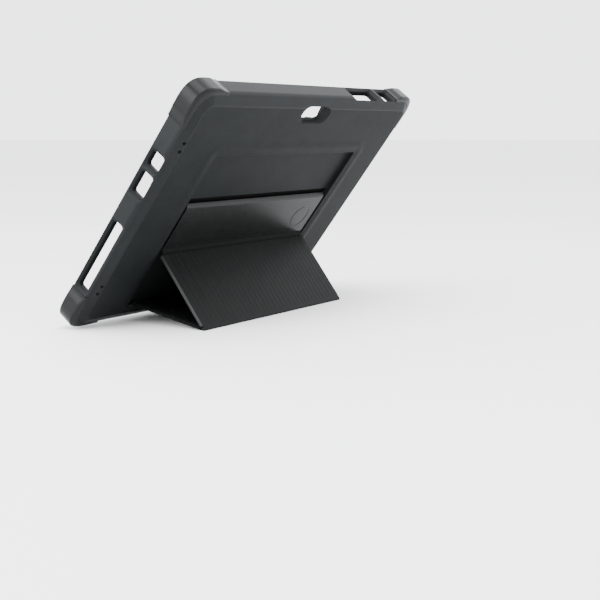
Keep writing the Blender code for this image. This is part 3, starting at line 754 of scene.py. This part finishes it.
def make_bumper(corner, signs):
    """A corner's swelling of the wall, squarer than the tray's own corner, with faded ends."""
    section = fillet(bumper_section(), BUMPER_RADII, BUMPER_ARC_STEPS)
    rings = []
    for near, place in corner_track(BUMPER_REACH, BUMPER_STATIONS):
        swell = math.sin(2 * place[1]) ** 2 if place[0] == "arc" else 0.0
        proud = BUMPER_FLUSH + (BUMPER_PROUD - BUMPER_FLUSH) * smooth_step(near / BUMPER_FADE)
        proud += BUMPER_CORNER * swell
        ring = []
        for inset, level in section:
            moved = inset * proud / BUMPER_PROUD if inset < 0 else inset
            x, y = track_point(place, moved, signs)
            ring.append((x, y, level))
        rings.append(ring)
    piece = mesh_piece(f"{corner}_bumper", rings)
    nodes = [f"corner_bumper_{corner}"]
    settle(piece, TRAY, "case", BUMPER_BLACK, nodes, sharp=50.0)


def bumper_seat(signs):
    """Cutter for the seat that a bumper is bonded into."""
    inner = bumper_section(BUMPER_GAP)
    outline = [
        (inner[0][0], -CUT_PAST), (-CUT_PAST, -CUT_PAST), (-CUT_PAST, DEPTH + CUT_PAST),
        (inner[3][0], DEPTH + CUT_PAST), *inner[4:]]
    rings = []
    for _, place in corner_track(BUMPER_REACH + BUMPER_GAP, SEAT_STATIONS):
        points = [track_point(place, inset, signs) for inset, _ in outline]
        rings.append([(x, y, level) for (x, y), (_, level) in zip(points, outline)])
    return mesh_piece("bumper_seat_tool", rings)


def make_frame():
    """The soft frame: chamfered back edge, wall, stepped rim and the lip over the screen."""
    inner = CHAMFER_RUN + GAP - HAIR
    rim = DEPTH - RIM_DROP
    corners = [
        (inner, 0.0), (CHAMFER_RUN - CHAMFER_TOE, 0.0), (0.0, CHAMFER_RISE),
        (0.0, DEPTH), (RIM_STEP, DEPTH),
        (RIM_STEP + RIM_RAMP, rim), (LIP_REACH, rim), (LIP_REACH, LIP_UNDERSIDE + LIP_BEVEL),
        (WALL, LIP_UNDERSIDE), (WALL, FLOOR_TOP), (inner, FLOOR_TOP)]
    section = fillet(corners, FRAME_RADII, FRAME_ARC_STEPS)
    rings = [inset_outline(inset, level) for inset, level in section]
    shell = mesh_piece("soft_frame", rings, closed=True)
    tools = [bumper_seat(signs) for signs in CORNERS.values()]
    for name, (height, half, low, high) in SIDE_PORTS.items():
        tools.append(opening_tools(name, tray_y(height), half, low, high, "X"))
    for name, (along, half, low, high) in TOP_CUTOUTS.items():
        tools.append(opening_tools(name, along, half, low, high, "Y"))
    tools += [camera_tool(), *lanyard_tools()]
    carve(shell, tools)
    settle(shell, TRAY, "case", SOFT_BLACK, ["bumper_frame"])


def make_back_plate():
    """The hard back: a soft shoulder round the recess, and a slot above the tab's place, lined with
    near-black painted shade.
    """
    middle = tray_y((RECESS_LOW + RECESS_HIGH) / 2)
    half_y = (RECESS_HIGH - RECESS_LOW) / 2
    inset = CHAMFER_RUN + GAP

    def recess_ring(grow, level):
        """The recess outline, grown less towards the tray's bottom edge than elsewhere."""
        below = grow * SHOULDER_BELOW / SHOULDER if grow > 0 else grow
        centre = (0.0, middle + (grow - below) / 2)
        radius = RECESS_RADIUS + max(grow, 0.0)
        outline = rounded_rectangle(
            RECESS_HALF_X + grow, half_y + (grow + below) / 2, radius, centre)
        return at_level(outline, level)

    def border_ring(further, level):
        """The plate's outer border, moved in by a distance."""
        radius = CORNER_RADIUS - inset + further / 2
        outline = rounded_rectangle(HALF_X - inset - further, HALF_Y - inset - further, radius)
        return at_level(outline, level)

    rings = [border_ring(further, level) for further, level in BORDER_PROFILE]
    rings.append(recess_ring(SHOULDER_GUARD + SHOULDER, 0.0))
    for step in range(SHOULDER_STEPS, 0, -1):
        t = step / SHOULDER_STEPS
        level = -SHOULDER_PROUD * math.sin(math.pi * t) ** 2
        rings.append(recess_ring(SHOULDER_INSIDE + SHOULDER * t, level))
    rings += [recess_ring(grow, level) for grow, level in RECESS_PROFILE]
    plate = mesh_piece("hard_back", rings)
    edge = PANEL_HALF_X + GAP
    rebate_low = tray_y(RECESS_LOW - STRIP_WIDTH - GAP)
    rebate_high = tray_y(RECESS_LOW + REBATE_PAST)
    rebate = prism(
        "rebate_tool", rectangle(-edge, edge, rebate_low, rebate_high),
        -CUT_PAST, STRIP_THICK + GAP, "Z")
    slot_low = TAB_HINGE_AT + TAB_LENGTH - SLOT_BELOW
    slot_high = slot_low + SLOT_ABOVE
    slot_centre = (0.0, tray_y((slot_low + slot_high) / 2))
    slot_outline = rounded_rectangle(
        RECESS_HALF_X - SLOT_SIDE, SLOT_ABOVE / 2, SLOT_RADIUS, slot_centre, 5)
    slot = prism("slot_tool", slot_outline, RECESS_DEPTH - 1.0, RECESS_DEPTH + SLOT_DEPTH, "Z")
    carve(plate, [rebate, slot, camera_tool()])
    settle(plate, TRAY, "case", HARD_BLACK, ["back_plate"], sharp=16.0)
    plate.data.materials.append(PAINTED_DEEP_SHADE)
    # The faces inside the slot get near-black painted shade
    to_tray = TRAY.inverted()
    for face in plate.data.polygons:
        centre = to_tray @ face.center
        sunk = RECESS_DEPTH + 0.1 < centre.z < RECESS_DEPTH + SLOT_DEPTH + 0.05
        if sunk and tray_y(slot_low) - 1.0 < centre.y < tray_y(slot_high) + 1.0:
            face.material_index = 1


def outline_point(half_x, half_y, radius, side, fraction):
    """A point on one side of a rounded rectangle; -0.5 and 0.5 are the middles of its corners."""
    along, across = (half_y, half_x) if side in (0, 2) else (half_x, half_y)
    straight = along - radius
    distance = 2 * fraction * (straight + radius * math.pi / 4)
    if abs(distance) <= straight:
        a, b = distance, across
    else:
        angle = (abs(distance) - straight) / radius
        a = math.copysign(straight + radius * math.sin(angle), distance)
        b = across - radius + radius * math.cos(angle)
    return Matrix.Rotation(side * math.pi / 2, 2) @ Vector((b, a))


def liner_section(side, fraction, levels):
    """One rib across the liner's band: closed below, and through the given levels above."""
    outer = outline_point(
        HALF_X - LINER_OUTSIDE, HALF_Y - LINER_OUTSIDE, CORNER_RADIUS - LINER_OUTSIDE,
        side, fraction)
    inner = outline_point(
        HALF_X - LINER_BAND_X, HALF_Y - LINER_BAND_Y, LINER_INNER_RADIUS,
        side, fraction + LINER_SKEW)
    ring = [(*outer, LINER_BASE)]
    for i, level in enumerate(levels):
        t = i / (len(levels) - 1)
        across = outer.lerp(inner, t)
        ring.append((*across, level))
    ring.append((*inner, LINER_BASE))
    return ring


def bar_outline(start, end, side):
    """A straight bar's outline, from its two ends and half its width as a vector."""
    return [tuple(start - side), tuple(end - side), tuple(end + side), tuple(start + side)]


def arm_outline(signs, grow):
    """The diagonal arm from a corner of the rail frame towards the tray's corner."""
    start = Vector((signs[0] * RAIL_X, signs[1] * RAIL_Y))
    end = Vector((signs[0] * ARM_END_X, signs[1] * ARM_END_Y))
    along = (end - start).normalized()
    side = along.orthogonal() * (RAIL_WIDTH / 2 + grow)
    return bar_outline(start, end + along * grow, side)


def make_liner():
    """Overlapping leaves round the floor, each curving down to the next one's step."""
    rings = []
    last = 0.5 - LINER_SKEW
    for side in range(4):
        count = LEAVES_SHORT_SIDE if side in (0, 2) else LEAVES_LONG_SIDE
        for leaf in range(count):
            for t in LEAF_STATIONS:
                fraction = min((leaf + t) / count - 0.5, last)
                drop = LEAF_STEP if t < LEAF_FOOT else 0.0
                ease = smooth_step(t) if t > LEAF_CREST else 0.0
                levels = [
                    high + (low - high) * ease - drop
                    for high, low in zip(LINER_CREST, LINER_TROUGH)]
                rings.append(liner_section(side, fraction, levels))
    liner = mesh_piece("ribbed_liner", rings, closed=True)
    tools = [camera_tool(), *lanyard_tools()]
    for signs in CORNERS.values():
        channel = arm_outline(signs, GAP)
        tools.append(prism("channel_tool", channel, LINER_BASE - CUT_PAST, LINER_BASE + CUT_PAST, "Z"))
    carve(liner, tools)
    settle(liner, TRAY, "case", LINER_BLACK, ["rib_liner"], sharp=24.0)


def make_rails():
    """The inlaid frame: a flat bar with a sunk centre line, and an arm to each corner."""
    half = RAIL_WIDTH / 2
    shoulder = RAIL_THICK - RAIL_BEVEL
    sunk = RAIL_THICK - RAIL_GROOVE_DEPTH
    section = [
        (half, 0.0), (half, shoulder), (half - RAIL_BEVEL, RAIL_THICK), (RAIL_GROOVE, RAIL_THICK),
        (RAIL_GROOVE_FLOOR, sunk), (-RAIL_GROOVE_FLOOR, sunk), (-RAIL_GROOVE, RAIL_THICK),
        (RAIL_BEVEL - half, RAIL_THICK), (-half, shoulder), (-half, 0.0)]
    rings = []
    for offset, level in section:
        radius = (offset + half) / 2 + RAIL_LEAST_RADIUS
        outline = rounded_rectangle(RAIL_X + offset, RAIL_Y + offset, radius)
        rings.append(at_level(outline, LINER_BASE + level))
    rails = mesh_piece("rail_frame", rings, closed=True)
    low = LINER_BASE + ARM_SINK
    high = LINER_BASE + RAIL_THICK - ARM_SINK
    arms = [prism("arm_tool", arm_outline(signs, 0.0), low, high, "Z") for signs in CORNERS.values()]
    carve(rails, arms, "UNION")
    settle(rails, TRAY, "case", RAIL_GREY, ["rail_inlay"])


def pad_outline(signs, shrink):
    """A three-lobed shield with rounded lobes."""
    lobes = ((0.0, PAD_LOBE), (math.pi / 2, PAD_LOBE), (5 * math.pi / 4, PAD_TAIL))
    points = []
    radii = []
    for angle, length in lobes:
        along = Vector((math.cos(angle), math.sin(angle)))
        across = Vector((-along.y, along.x))
        for half in (-1, 1):
            points.append(tuple(along * (length - shrink) + across * half * (PAD_HALF_WIDTH - shrink)))
            radii.append(PAD_RADIUS)
    return [(signs[0] * (RAIL_X - a), signs[1] * (RAIL_Y - b)) for a, b in fillet(points, radii, 5)]


def make_pads():
    """Shock pads: a base skirt, drafted sides, a crowned top and two raised chevrons."""
    channel_top = LINER_BASE + RAIL_THICK + GAP
    half = RAIL_WIDTH / 2 + GAP
    for corner, signs in CORNERS.items():
        rings = [
            at_level(pad_outline(signs, shrink), LINER_BASE + level)
            for shrink, level in PAD_PROFILE]
        pad = mesh_piece(f"{corner}_pad", rings)
        centre = Vector((signs[0] * RAIL_X, signs[1] * RAIL_Y))
        channels = []
        for along in (Vector((-signs[0], 0.0)), Vector((0.0, -signs[1]))):
            side = along.orthogonal() * half
            channels.append(bar_outline(centre - along * half, centre + along * PAD_CHANNEL, side))
        channels.append(arm_outline(signs, GAP))
        carve(pad, [
            prism("channel_tool", outline, LINER_BASE - CUT_PAST, channel_top, "Z")
            for outline in channels])
        settle(pad, TRAY, "case", PAD_BLUE, [f"shock_pad_{corner}"])
        for number, reach in enumerate(CHEVRON_REACHES, 1):
            make_chevron(f"{corner}_pad_chevron_{number}", signs, reach)


def make_chevron(name, signs, reach):
    """A raised V on a pad's top, pointing along the diagonal."""
    inward = Vector((-signs[0], -signs[1])).normalized()
    side = Vector((-inward.y, inward.x))
    centre = Vector((signs[0] * RAIL_X, signs[1] * RAIL_Y))
    tip = centre + inward * reach
    rings = []
    for across, along, thin in CHEVRON_SPINE:
        middle = tip + side * across + inward * along
        ring = []
        for a, level in CHEVRON_PROFILE:
            point = middle + inward * a * thin
            ring.append((point.x, point.y, PAD_TOP + level * thin))
        rings.append(ring)
    piece = mesh_piece(name, rings)
    settle(piece, TRAY, "case", PAD_BLUE)


def make_keeper():
    """The keeper plate: a thin plate with a rolled edge and a shallow inner border."""
    rings = []
    for inset, level in KEEPER_PROFILE:
        radius = KEEPER_RADIUS - inset * KEEPER_RADIUS_DROP
        outline = rounded_rectangle(
            KEEPER_HALF_X - inset, KEEPER_HALF_Y - inset, radius, (0.0, KEEPER_CENTRE_Y))
        rings.append(at_level(outline, LINER_BASE + level))
    plate = mesh_piece("magnet_keeper", rings)
    settle(plate, TRAY, "case", KEEPER_GREY, ["keeper_plate"])


# ---------------------------------------------------------------- kickstand

def slab(name, half_x, low, high, bottom, top, corner=PANEL_CORNER, edge=PANEL_EDGE):
    """A flat panel with rounded corners and rolled edges."""
    middle = (0.0, (low + high) / 2)
    half_y = (high - low) / 2
    rings = []
    quarter = [math.pi / 2 * i / 4 for i in range(5)]
    shape = [(edge * (1 - math.sin(a)), bottom + edge * (1 - math.cos(a))) for a in quarter]
    shape += [(edge * (1 - math.cos(a)), top - edge * (1 - math.sin(a))) for a in quarter]
    for inset, level in shape:
        radius = max(corner - inset, LEAST_PANEL_RADIUS)
        outline = rounded_rectangle(half_x - inset, half_y - inset, radius, middle, 5)
        rings.append(at_level(outline, level))
    return mesh_piece(name, rings)


def pocket_tool(low, high, floor, half_x=PANEL_HALF_X):
    """The pocket in a cover that holds its board and lining."""
    edge = half_x - SKIN_BORDER
    return prism("pocket_tool", rectangle(-edge, edge, low, high), floor, floor + POCKET_CUT, "Z")


def across_tool(outline):
    """A cutter right across a panel, from its section along the panel."""
    side = PANEL_HALF_X + SIDE_PAST
    return prism("across_tool", outline, -side, side, "X")


def end_bevel(end, away, run, start, top):
    """A cutter that slopes one end of a panel back towards its inner face at the level top."""
    past = end + away * END_PAST
    back = end - away * run
    above = top + SIDE_PAST
    return across_tool([(past, start), (end, start), (back, top), (back, above), (past, above)])


def make_lining(name, low, high, outer, place, body, material, half_x=PANEL_HALF_X):
    """The panel's inner lining, with a rolled edge."""
    top = outer + PANEL_THICK
    edge = half_x - SKIN_BORDER - GAP
    piece = slab(
        name, edge, low + GAP, high - GAP, top - SKIN_THICK, top - HAIR, LINING_CORNER, LINING_EDGE)
    settle(piece, place, body, material, [name.replace("_inner_lining", "_lining")])


def paint_side_light_and_shade(cover, half_x, material):
    """Give a panel's two short sides, with their rolled edges, a material of their own: a painted
    highlight on the leg, painted shade on the foot and the tab.
    """
    cover.data.materials.append(material)
    for face in cover.data.polygons:
        if abs(face.normal.x) > SIDE_PAINT_FACING and abs(face.center.x) > (half_x - SIDE_PAINT_WIDTH) * MM:
            face.material_index = 1


def make_foot():
    """The panel from the base hinge to the knee, with the knee's bead on its end."""
    end = FOOT_SPAN - HINGE_GAP_FOOT
    cover = slab("foot_cover", PANEL_HALF_X, FOOT_ROOT, end, 0.0, PANEL_THICK)
    mitre = end_bevel(end, 1, MITRE_RUN, PANEL_THICK / 2 + MITRE_START, PANEL_THICK)
    line = line_tool(PANEL_HALF_X - LINE_SIDE, LINE_LOW, end - LINE_HIGH, 0.0)
    carve(cover, [pocket_tool(SKIN_BORDER, end - POCKET_END, SKIN_THICK), mitre, line])
    settle(cover, FOOT, "foot_panel", PANEL_SKIN, ["foot_skin"])
    # The foot's short sides get dark painted shade
    paint_side_light_and_shade(cover, PANEL_HALF_X, PAINTED_DIM_SHADE)
    make_lining(
        "foot_inner_lining", SKIN_BORDER, end - POCKET_END, 0.0, FOOT, "foot_panel",
        PANEL_SKIN)
    half = PANEL_HALF_X
    stations = [(-half + inset, radius) for inset, radius in BEAD_END]
    stations += [(half - inset, radius) for inset, radius in reversed(BEAD_END)]
    bead = []
    for x, radius in stations:
        ring = circle(BEAD_RADIUS * radius, BEAD_SIDES, (FOOT_SPAN, PANEL_THICK / 2))
        bead.append([(x, a, b) for a, b in ring])
    piece = mesh_piece("knee_fold_bead", bead)
    settle(piece, FOOT, "foot_panel", PANEL_SKIN, ["knee_bead"])


def line_tool(half_x, low, high, level):
    """A cutter for a fine pressed line that follows a panel's border on its outer face."""
    middle = (0.0, (low + high) / 2)
    half_y = (high - low) / 2
    half = LINE_WIDTH / 2
    rings = []
    for grow, rise in ((-half, -1.0), (half, -1.0), (half, 0.0), (0.0, LINE_DEPTH), (-half, 0.0)):
        outline = rounded_rectangle(half_x + grow, half_y + grow, LINE_RADIUS + grow, middle, 4)
        rings.append(at_level(outline, level + rise))
    return mesh_piece("line_tool", rings, closed=True)


def leg_grooves(outer, low, high):
    """Cutters for the fine grooves along the leg's outer face."""
    count = int(2 * (PANEL_HALF_X - GROOVE_BORDER) / GROOVE_PITCH)
    first = -GROOVE_PITCH * (count - 1) / 2
    half = GROOVE_WIDTH / 2
    right = [(half, -MOUTH), *((half * a, GROOVE_DEPTH * b) for a, b in GROOVE_PROFILE)]
    left = [(-a, b) for a, b in reversed(right[:-1])]
    section = [(-half, -GROOVE_ABOVE), (half, -GROOVE_ABOVE), *right, *left]
    tools = []
    for i in range(count):
        x = first + i * GROOVE_PITCH
        outline = [(x + a, outer + b) for a, b in section]
        tools.append(prism("groove_tool", outline, low, high, "Y"))
    return tools


def make_leg():
    """The panel from the knee up to the tab, with fine grooves along its outer face."""
    outer = -PANEL_THICK / 2
    inner = PANEL_THICK / 2
    end = LEG_SPAN - HINGE_GAP_TAB
    cover = slab("leg_cover", PANEL_HALF_X, HINGE_GAP_FOOT, end, outer, inner)
    low_mitre = end_bevel(HINGE_GAP_FOOT, -1, MITRE_RUN, MITRE_START, inner)
    high_bevel = end_bevel(end, 1, LEG_END_BEVEL, inner - LEG_END_BEVEL, inner)
    pocket = pocket_tool(POCKET_END, end - POCKET_END / 2, outer + SKIN_THICK)
    grooves = leg_grooves(outer, HINGE_GAP_FOOT - END_PAST, end + END_PAST)
    carve(cover, [pocket, low_mitre, high_bevel, *grooves])
    settle(cover, LEG, "leg", LEG_GRIP, ["leg_skin"])
    # The leg's short sides get a painted highlight
    paint_side_light_and_shade(cover, PANEL_HALF_X, PAINTED_SIDE_HIGHLIGHT)
    make_lining(
        "leg_inner_lining", POCKET_END, end - POCKET_END / 2, outer, LEG, "leg",
        LEG_GRIP)


def make_tab():
    """The tab that meets the back: a bevelled top end, and the round print of the magnet inside."""
    outer = TAB_HINGE_RISE
    cover = slab(
        "tab_cover", TAB_HALF_X, HINGE_GAP_TAB, TAB_LENGTH, outer, outer + PANEL_THICK,
        TAB_CORNER, TAB_EDGE)
    top = TAB_LENGTH - TAB_BEVEL
    past = TAB_LENGTH + SIDE_PAST
    slope = [(TAB_LENGTH - TAB_BEVEL * run, outer + sink) for run, sink in TAB_BEVEL_PROFILE]
    bevel = across_tool([
        (top, outer - END_PAST), *slope, (past, slope[-1][1]), (past, outer - END_PAST)])
    pocket = pocket_tool(HINGE_GAP_TAB + SKIN_BORDER, top, outer + SKIN_THICK, TAB_HALF_X)
    rings = []
    for radius, level in (
            (MAGNET_PRINT - PRINT_WIDTH, outer - END_PAST),
            (MAGNET_PRINT + PRINT_WIDTH, outer - END_PAST),
            (MAGNET_PRINT + PRINT_WIDTH, outer - MOUTH),
            (MAGNET_PRINT, outer + PRINT_DEPTH),
            (MAGNET_PRINT - PRINT_WIDTH, outer - MOUTH)):
        rings.append(at_level(circle(radius, PRINT_SIDES, (-MAGNET_X, MAGNET_Y)), level))
    tools = [bevel, pocket, mesh_piece("print_tool", rings, closed=True)]
    carve(cover, tools)
    settle(cover, TAB, "tab", PANEL_SKIN, ["tab_skin"])
    # The tab's short sides get near-black painted shade
    paint_side_light_and_shade(cover, TAB_HALF_X, PAINTED_DEEP_SHADE)
    make_lining(
        "tab_inner_lining", HINGE_GAP_TAB + SKIN_BORDER, top, outer, TAB, "tab",
        PANEL_SKIN, TAB_HALF_X)


def web(name, points, nodes, material, half):
    """A living hinge: a thin flexible strip through a list of world points, bent between two bodies."""
    inner = half - WEB_EDGE
    rings = []
    for x, thin in ((-half, WEB_EDGE_THICK), (-inner, 1.0), (inner, 1.0), (half, WEB_EDGE_THICK)):
        across = Vector((x * MM, 0.0, 0.0))
        front, back = [], []
        for i in range(WEB_STEPS + 1):
            t = i / WEB_STEPS
            here = curve_point(points, t)
            before = curve_point(points, max(t - WEB_STRIDE, 0.0))
            ahead = curve_point(points, min(t + WEB_STRIDE, 1.0)) - before
            side = Vector((0.0, -ahead.z, ahead.y)).normalized() * WEB_THICK / 2 * thin * MM
            front.append(here + side + across)
            back.append(here - side + across)
        rings.append(front + back[::-1])
    piece = mesh_piece(name, rings)
    settle(piece, Matrix.Identity(4), None, material, nodes)
    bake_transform(piece)


def curve_point(points, t):
    """A point on the Bezier curve with these control points."""
    layer = list(points)
    while len(layer) > 1:
        layer = [a.lerp(b, t) for a, b in zip(layer, layer[1:])]
    return layer[0]


def on_panel(place, *points):
    """World points from (Y, Z) pairs in a panel's or the tray's frame."""
    return [place @ Vector((0.0, y, z)) for y, z in points]


def make_webs():
    """The living hinges at the base, at the tab and at the knee, each from its control points."""
    wide = PANEL_HALF_X - WEB_SIDE
    outer = -PANEL_THICK / 2
    end = LEG_SPAN - HINGE_GAP_TAB
    base = on_panel(TRAY, (tray_y(10.6), 0.2), (tray_y(15.3), 0.2))
    base += on_panel(FOOT, (0.6, 0.3), (4.0, 0.3))
    web("base_hinge_skin", base, (), PANEL_SKIN, wide)
    fold = on_panel(
        LEG, (end - 0.8, outer + 1.5), (end + 0.3, outer + 1.0), (LEG_SPAN - 0.8, outer - 0.7))
    fold += on_panel(TAB, (0.8, -0.5), (HINGE_GAP_TAB - 0.3, 1.0), (HINGE_GAP_TAB + 0.8, 1.5))
    # The tab hinge's strip is painted darker: painted shade in its creases
    web("tab_hinge_skin", fold, ["tab_hinge_strip"], PAINTED_DIM_SHADE, TAB_HALF_X)
    reach = BEAD_RADIUS + KNEE_ROOM
    knee = on_panel(FOOT, (FOOT_SPAN - 2.6, 0.3), (FOOT_SPAN - 0.6, 0.2), (FOOT_SPAN + reach, -0.2))
    knee += on_panel(LEG, (-reach, outer + 0.3), (0.6, outer + 0.2), (2.6, outer + 0.35))
    web("knee_hinge_skin", knee, (), LEG_GRIP, wide)


def make_anchor():
    """The strip that holds the base hinge to the back."""
    piece = slab(
        "base_anchor_strip", PANEL_HALF_X, tray_y(RECESS_LOW - STRIP_WIDTH), tray_y(RECESS_LOW),
        0.0, STRIP_THICK, STRIP_CORNER, STRIP_EDGE)
    settle(piece, TRAY, "case", PANEL_SKIN, ["anchor_strip"])


# ---------------------------------------------------------------- stage

def make_stage():
    """A pale, slightly cloudy floor under an even white sky."""
    mesh = bpy.data.meshes.new("floor")
    bm = bmesh.new()
    bmesh.ops.create_circle(bm, cap_ends=True, segments=FLOOR_SIDES, radius=FLOOR_RADIUS)
    bm.to_mesh(mesh)
    bm.free()
    floor = bpy.data.objects.new("floor", mesh)
    bpy.context.scene.collection.objects.link(floor)
    floor.location.z = cad_low[2]
    material, tree, shader, place = shader_tree("pale_floor")
    cloud = noise_field(tree, place, 0.5, 2.0)
    tone = blend_colours(tree, cloud, *FLOOR_TONES)
    tree.links.new(tone, shader.inputs["Base Color"])
    shader.inputs["Roughness"].default_value = FLOOR_ROUGHNESS
    mesh.materials.append(material)
    world = bpy.data.worlds.new("studio")
    world.use_nodes = True
    sky = world.node_tree.nodes["Background"]
    sky.inputs["Color"].default_value = WORLD_COLOUR
    sky.inputs["Strength"].default_value = WORLD_STRENGTH
    bpy.context.scene.world = world


def make_light(name, place, size, watts):
    """A soft rectangular light aimed at the middle of the object."""
    lamp = bpy.data.lights.new(name, "AREA")
    lamp.shape = "RECTANGLE"
    lamp.size = size[0]
    lamp.size_y = size[1]
    lamp.energy = watts
    light = bpy.data.objects.new(name, lamp)
    bpy.context.scene.collection.objects.link(light)
    light.location = place
    aim = Vector(LIGHT_AIM) - Vector(place)
    light.rotation_euler = aim.to_track_quat("-Z", "Y").to_euler()


def make_camera():
    """The scene's camera."""
    camera = bpy.data.objects.new("camera", bpy.data.cameras.new("camera"))
    bpy.context.scene.collection.objects.link(camera)
    camera.location = CAMERA_PLACE
    camera.rotation_euler = [math.radians(angle) for angle in CAMERA_TURN]
    camera.data.lens = CAMERA_LENS
    camera.data.sensor_width = CAMERA_SENSOR
    camera.data.clip_start = CAMERA_NEAR
    bpy.context.scene.camera = camera


def finish_cad_nodes():
    """CAD nodes that stay shown inside the panels get their finished materials."""
    finishes = (
        (CORE_BOARD, ("foot_core", "leg_core", "tab_core")),
        (MAGNET_STEEL, ("tab_magnet_left", "tab_magnet_right")))
    for material, nodes in finishes:
        for node in nodes:
            slots = frame["nodes"][node].data.materials
            slots.clear()
            slots.append(material)


make_stage()
make_camera()
for light in LIGHTS:
    make_light(*light)
make_frame()
make_back_plate()
for corner, signs in CORNERS.items():
    make_bumper(corner, signs)
make_liner()
make_rails()
make_pads()
make_keeper()
make_anchor()
make_foot()
make_leg()
make_tab()
make_webs()
finish_cad_nodes()
